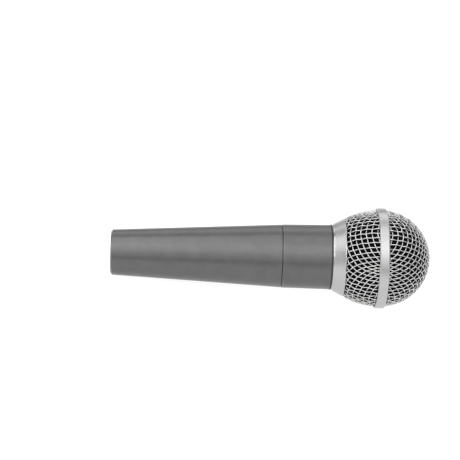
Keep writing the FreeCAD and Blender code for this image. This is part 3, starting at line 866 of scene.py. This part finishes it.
# ------------------------------------------------------------------ the grille
@dataclass
class Grille:
    """The woven ball with its band, collar and foam."""

    spindle: Spindle
    rack: Rack
    rear_curve: float = 37.3 * MM
    sheet: float = 0.56 * MM
    tuck: float = 0.45 * MM
    corner: float = 3.0 * MM
    floor_depth: float = 0.35 * MM
    floor_lap: float = 0.2 * MM
    overrun: float = 8 * MM
    front_turn: float = math.radians(62.5)
    foam_wall: float = 3.0 * MM
    foam_sides: int = 96
    foam_ripple: float = 0.10 * MM
    ripples: float = 900.0
    ripple_sink: float = 0.6

    def build(self) -> None:
        """Makes the woven halves and the foam, and puts them in place of their CAD nodes."""
        for name, half in (("grille_mesh_front", self._front()), ("grille_mesh_rear", self._rear())):
            piece = half.piece(f"{name}_woven", self.spindle, self.rack.finish("woven_wire"))
            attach(piece, "grille")
            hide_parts(name)
        foam = self._foam()
        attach(foam, "grille_foam")
        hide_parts("foam_liner")

    def _front(self) -> WovenHalf:
        """The front half: part of a ball, from its crown to the band."""
        node = self.spindle.span("grille_mesh_front")
        centre = Vector((node.end - node.reach, 0.0))
        radius = node.reach - self.sheet
        crown = centre + Vector((radius, 0.0))
        widest = centre + Vector((0.0, radius))
        rim = Vector((node.start + self.tuck, radius))
        past = Vector((rim.x - self.overrun, radius))
        bends = [Bend(crown, widest, centre, radius), Bend(widest, past, centre, 0.0)]
        last = bends[0].length + (widest.x - rim.x)
        return WovenHalf(Outline(bends), 0.0, last, turn=self.front_turn)

    def _rear(self) -> WovenHalf:
        """The rear half: a cup whose floor is cut away where the collar holds it."""
        node = self.spindle.span("grille_mesh_rear")
        collar = self.spindle.span("grille_collar")
        radius = self.rear_curve - self.sheet
        top = Vector((node.end, node.reach - self.sheet))
        centre = Vector((node.end, node.reach - self.rear_curve))
        floor = collar.end - self.floor_depth
        corner_place = floor + self.corner
        slope = math.asin((node.end - corner_place) / (radius - self.corner))
        lean = Vector((-math.sin(slope), math.cos(slope)))
        corner_centre = centre + lean * (radius - self.corner)
        wall_foot = centre + lean * radius
        floor_rim = Vector((floor, corner_centre.y))
        pole = Vector((floor, 0.0))
        past = top + Vector((self.overrun, 0.0))
        bends = [
            Bend(pole, floor_rim, pole, 0.0),
            Bend(floor_rim, wall_foot, corner_centre, self.corner),
            Bend(wall_foot, top, centre, radius),
            Bend(top, past, top, 0.0),
        ]
        last = sum(bend.length for bend in bends[:3]) - self.tuck
        first = bends[0].length - self.floor_lap
        return WovenHalf(Outline(bends), first, last, outward=-1.0, stretch=0.16, stretch_power=3.0)

    def _foam(self) -> bpy.types.Object:
        """The foam liner: a hollow shell of even thickness with a slightly rough skin."""
        node = self.spindle.span("foam_liner")
        skin = node.reach
        centre = node.end - skin
        curve = self.rear_curve - (self.spindle.span("grille_mesh_rear").reach - skin)
        band = self.spindle.span("grille_band")
        middle = (band.start + band.end) / 2
        rear_steps, crown_steps = 15, 22

        def shell(wall: float) -> list[tuple[float, float]]:
            """The meridian this far inside the skin, from the rear edge to the crown."""
            rear_points = []
            for step in range(rear_steps):
                place = node.start + (middle - node.start) * step / rear_steps
                drop = (curve - wall) - math.sqrt((curve - wall) ** 2 - (middle - place) ** 2)
                rear_points.append((place, skin - wall - drop))
            turns = [math.pi / 2 * step / crown_steps for step in range(crown_steps + 1)]
            radius = skin - wall
            crown = [(centre + radius * math.sin(turn), radius * math.cos(turn)) for turn in turns]
            return rear_points + crown

        made = turn_profile(shell(0.0) + shell(self.foam_wall)[::-1], self.foam_sides, True)
        for vertex in made.verts:
            way = Vector((0.0, vertex.co.y, vertex.co.z))
            if way.length > 1 * MM:
                swell = noise.noise(vertex.co * self.ripples) - self.ripple_sink
                vertex.co += way.normalized() * swell * self.foam_ripple
        return finished_piece("foam_liner_soft", made, self.spindle, self.rack.finish("black_foam"))


# ------------------------------------------------------------------ small fittings
@dataclass
class FrontScreen:
    """The disc of woven cloth stretched in front of the capsule."""

    spindle: Spindle
    rack: Rack
    sides: int = 72
    hem: float = 0.6 * MM

    def build(self) -> None:
        """Cuts the cloth and puts it in place of its CAD node."""
        node = self.spindle.span("front_screen")
        middle = (node.start + node.end) / 2
        thickness = node.end - node.start
        made = bmesh.new()
        bmesh.ops.create_circle(made, cap_ends=True, segments=self.sides, radius=node.reach)
        bmesh.ops.inset_region(made, faces=made.faces, thickness=self.hem, depth=0.0)
        upright = Matrix.Translation((middle, 0.0, 0.0)) @ Matrix.Rotation(math.pi / 2, 4, "Y")
        bmesh.ops.transform(made, matrix=upright, verts=made.verts)
        bmesh.ops.solidify(made, geom=made.faces[:], thickness=thickness)
        shift = thickness / 2 - max(vertex.co.x - middle for vertex in made.verts)
        bmesh.ops.translate(made, verts=made.verts, vec=(shift, 0.0, 0.0))
        bmesh.ops.recalc_face_normals(made, faces=made.faces)
        cloth = finished_piece("front_screen_cloth", made, self.spindle, self.rack.finish("screen_cloth"))
        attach(cloth, "cartridge")
        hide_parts("front_screen")
        across = node.reach * 2
        area = math.pi * node.reach**2


@dataclass
class SetScrew:
    """The grub screw that locks the connector insert, with a hexagonal drive."""

    spindle: Spindle
    rack: Rack
    sides: int = 24
    drive: float = 0.72 * MM
    drive_depth: float = 1.4 * MM
    chamfer: float = 0.15 * MM

    def build(self) -> None:
        """Makes the screw where its CAD node lies and puts it in the node's place."""
        flat = self.spindle.lay.inverted()
        points = [flat @ vertex.co for vertex in frame["nodes"]["insert_set_screw"].data.vertices]
        places = [point.x for point in points]
        middle = (min(places) + max(places)) / 2
        radius = (max(places) - min(places)) / 2
        sums = (sum(point.y for point in points), sum(point.z for point in points))
        around = Vector((0.0, *sums)).normalized()
        reaches = [point.y * around.y + point.z * around.z for point in points]
        made = self._body(radius, max(reaches) - min(reaches))
        self._sink_drive(made, radius)
        along = Vector((1.0, 0.0, 0.0))
        turn = Matrix((along, around.cross(along), around)).transposed().to_4x4()
        place = Matrix.Translation(along * middle + around * min(reaches)) @ turn
        bmesh.ops.transform(made, matrix=place, verts=made.verts)
        bmesh.ops.recalc_face_normals(made, faces=made.faces)
        screw = finished_piece("insert_set_screw_hex", made, self.spindle, self.rack.finish("black_screw"))
        screw.data.shade_flat()
        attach(screw, "handle")
        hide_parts("insert_set_screw")

    def _body(self, radius: float, height: float) -> bmesh.types.BMesh:
        """A cylinder that stands on the origin, with its top edge chamfered."""
        made = bmesh.new()
        bmesh.ops.create_circle(made, cap_ends=True, segments=self.sides, radius=radius)
        top = self._pull(made, made.faces[:], height)
        bmesh.ops.bevel(
            made,
            geom=[edge for edge in made.edges if all(vertex in top for vertex in edge.verts)],
            offset=self.chamfer,
            segments=1,
            profile=0.5,
            affect="EDGES",
            material=-1,
        )
        return made

    def _sink_drive(self, made: bmesh.types.BMesh, radius: float) -> None:
        """Sinks a hexagonal pit, its corners at the drive's radius, into the top."""
        cap = max(made.faces, key=lambda face: face.calc_center_median().z)
        bmesh.ops.inset_region(made, faces=[cap], thickness=radius - self.chamfer - self.drive)
        floor = max(made.faces, key=lambda face: (round(face.calc_center_median().z, 6), -face.calc_area()))
        for vertex in floor.verts:
            turn = math.atan2(vertex.co.y, vertex.co.x)
            sector = (turn % (math.pi / 3)) - math.pi / 6
            reach = self.drive * math.cos(math.pi / 6) / math.cos(sector)
            vertex.co.x, vertex.co.y = reach * math.cos(turn), reach * math.sin(turn)
        self._pull(made, [floor], -self.drive_depth)
        if floor.is_valid:
            bmesh.ops.delete(made, geom=[floor], context="FACES_ONLY")

    def _pull(
        self, made: bmesh.types.BMesh, faces: list[bmesh.types.BMFace], rise: float
    ) -> list[bmesh.types.BMVert]:
        """Extrudes faces along Z and returns the vertices that moved."""
        drawn = bmesh.ops.extrude_face_region(made, geom=faces)
        moved = [piece for piece in drawn["geom"] if isinstance(piece, bmesh.types.BMVert)]
        bmesh.ops.translate(made, verts=moved, vec=(0.0, 0.0, rise))
        return moved


# ------------------------------------------------------------------ the studio
def bearing(azimuth: float, elevation: float) -> Vector:
    """The way out to a place round the microphone, in degrees; azimuth 0 faces its side."""
    turn = math.radians(azimuth)
    rise = math.radians(elevation)
    return Vector((math.sin(turn) * math.cos(rise), -math.cos(turn) * math.cos(rise), math.sin(rise)))


@dataclass(frozen=True)
class Lamp:
    """A soft rectangular light that looks at the microphone."""

    name: str
    azimuth: float
    elevation: float
    distance: float
    width: float
    height: float
    power: float

    def hang(self, target: Vector) -> None:
        """Hangs the lamp round a target."""
        away = bearing(self.azimuth, self.elevation)
        data = bpy.data.lights.new(self.name, "AREA")
        data.shape = "RECTANGLE"
        data.size = self.width
        data.size_y = self.height
        data.energy = self.power
        lamp = bpy.data.objects.new(self.name, data)
        lamp.location = target + away * self.distance
        lamp.rotation_mode = "QUATERNION"
        lamp.rotation_quaternion = (-away).to_track_quat("-Z", "Y")
        bpy.context.scene.collection.objects.link(lamp)


@dataclass
class Studio:
    """The pale floor, the soft lights and the camera."""

    spindle: Spindle
    lens: float = 138.4
    distance: float = 0.90
    azimuth: float = -5.76
    elevation: float = 32.0
    roll: float = 9.48
    band_right: float = 76.13 * MM
    band_down: float = 14.36 * MM
    floor_size: float = 6.0
    floor_shade: float = 0.3
    floor_glow: float = 0.9
    sky_glow: float = 0.5
    lamps: tuple[Lamp, ...] = (
        Lamp("front_low", -6.0, 25.0, 1.2, 1.6, 0.55, 2.4),
        Lamp("key", -6.0, 57.0, 1.2, 1.6, 0.82, 7.0),
        Lamp("overhead", 174.0, 83.0, 1.2, 1.6, 0.82, 4.7),
        Lamp("rear", 174.0, 35.0, 1.2, 1.6, 0.55, 3.6),
        Lamp("tail_low", -90.0, 12.0, 1.2, 1.0, 0.4, 4.4),
        Lamp("tail_high", -90.0, 55.0, 1.2, 1.0, 0.9, 3.2),
    )

    def build(self) -> None:
        """Sets out the studio."""
        self._floor()
        self._world()
        target = (cad_low + cad_high) / 2
        for lamp in self.lamps:
            lamp.hang(target)
        self._camera()

    def _floor(self) -> None:
        """Lays a plain floor that glows almost white."""
        made = bmesh.new()
        bmesh.ops.create_grid(made, x_segments=1, y_segments=1, size=self.floor_size / 2)
        mesh = bpy.data.meshes.new("floor")
        made.to_mesh(mesh)
        made.free()
        shader = Shader("floor_paper")
        shader.set(Base_Color=(self.floor_shade,) * 3, Roughness=0.9, Specular_IOR_Level=0.1)
        shader.set(Emission_Color=(1.0, 1.0, 1.0), Emission_Strength=self.floor_glow)
        mesh.materials.append(shader.material)
        floor = bpy.data.objects.new("floor", mesh)
        bpy.context.scene.collection.objects.link(floor)

    def _world(self) -> None:
        """Fills the room with soft white light."""
        world = bpy.data.worlds.new("room")
        world.use_nodes = True
        sky = world.node_tree.nodes["Background"]
        sky.inputs["Color"].default_value = (1.0, 1.0, 1.0, 1.0)
        sky.inputs["Strength"].default_value = self.sky_glow
        bpy.context.scene.world = world
        bpy.context.scene.view_settings.view_transform = "Standard"

    def _camera(self) -> None:
        """Stands the camera at the viewing angle, with the grille's band to the right of the middle."""
        back = bearing(self.azimuth, self.elevation)
        level = (-back).to_track_quat("-Z", "Y").to_matrix()
        facing = level @ Matrix.Rotation(math.radians(self.roll), 3, "Z")
        right, up = facing.col[0], facing.col[1]
        band = self.spindle.span("grille_band")
        middle = self.spindle.row(Vector(((band.start + band.end) / 2, 0.0, 0.0)))
        aim = middle - right * self.band_right + up * self.band_down
        data = bpy.data.cameras.new("camera")
        data.lens = self.lens
        data.clip_start = 0.05
        data.clip_end = 50.0
        camera = bpy.data.objects.new("camera", data)
        camera.matrix_world = Matrix.Translation(aim + back * self.distance) @ facing.to_4x4()
        bpy.context.scene.collection.objects.link(camera)
        bpy.context.scene.camera = camera


def main() -> None:
    """Builds the microphone's looks and the studio, in order."""
    logging.basicConfig(level=logging.INFO, format="%(name)s: %(message)s")
    spindle = Spindle()
    rack = Rack(spindle)
    rack.dress_nodes()
    Grille(spindle, rack).build()
    FrontScreen(spindle, rack).build()
    SetScrew(spindle, rack).build()
    Studio(spindle).build()


if __name__ == "__main__":
    main()
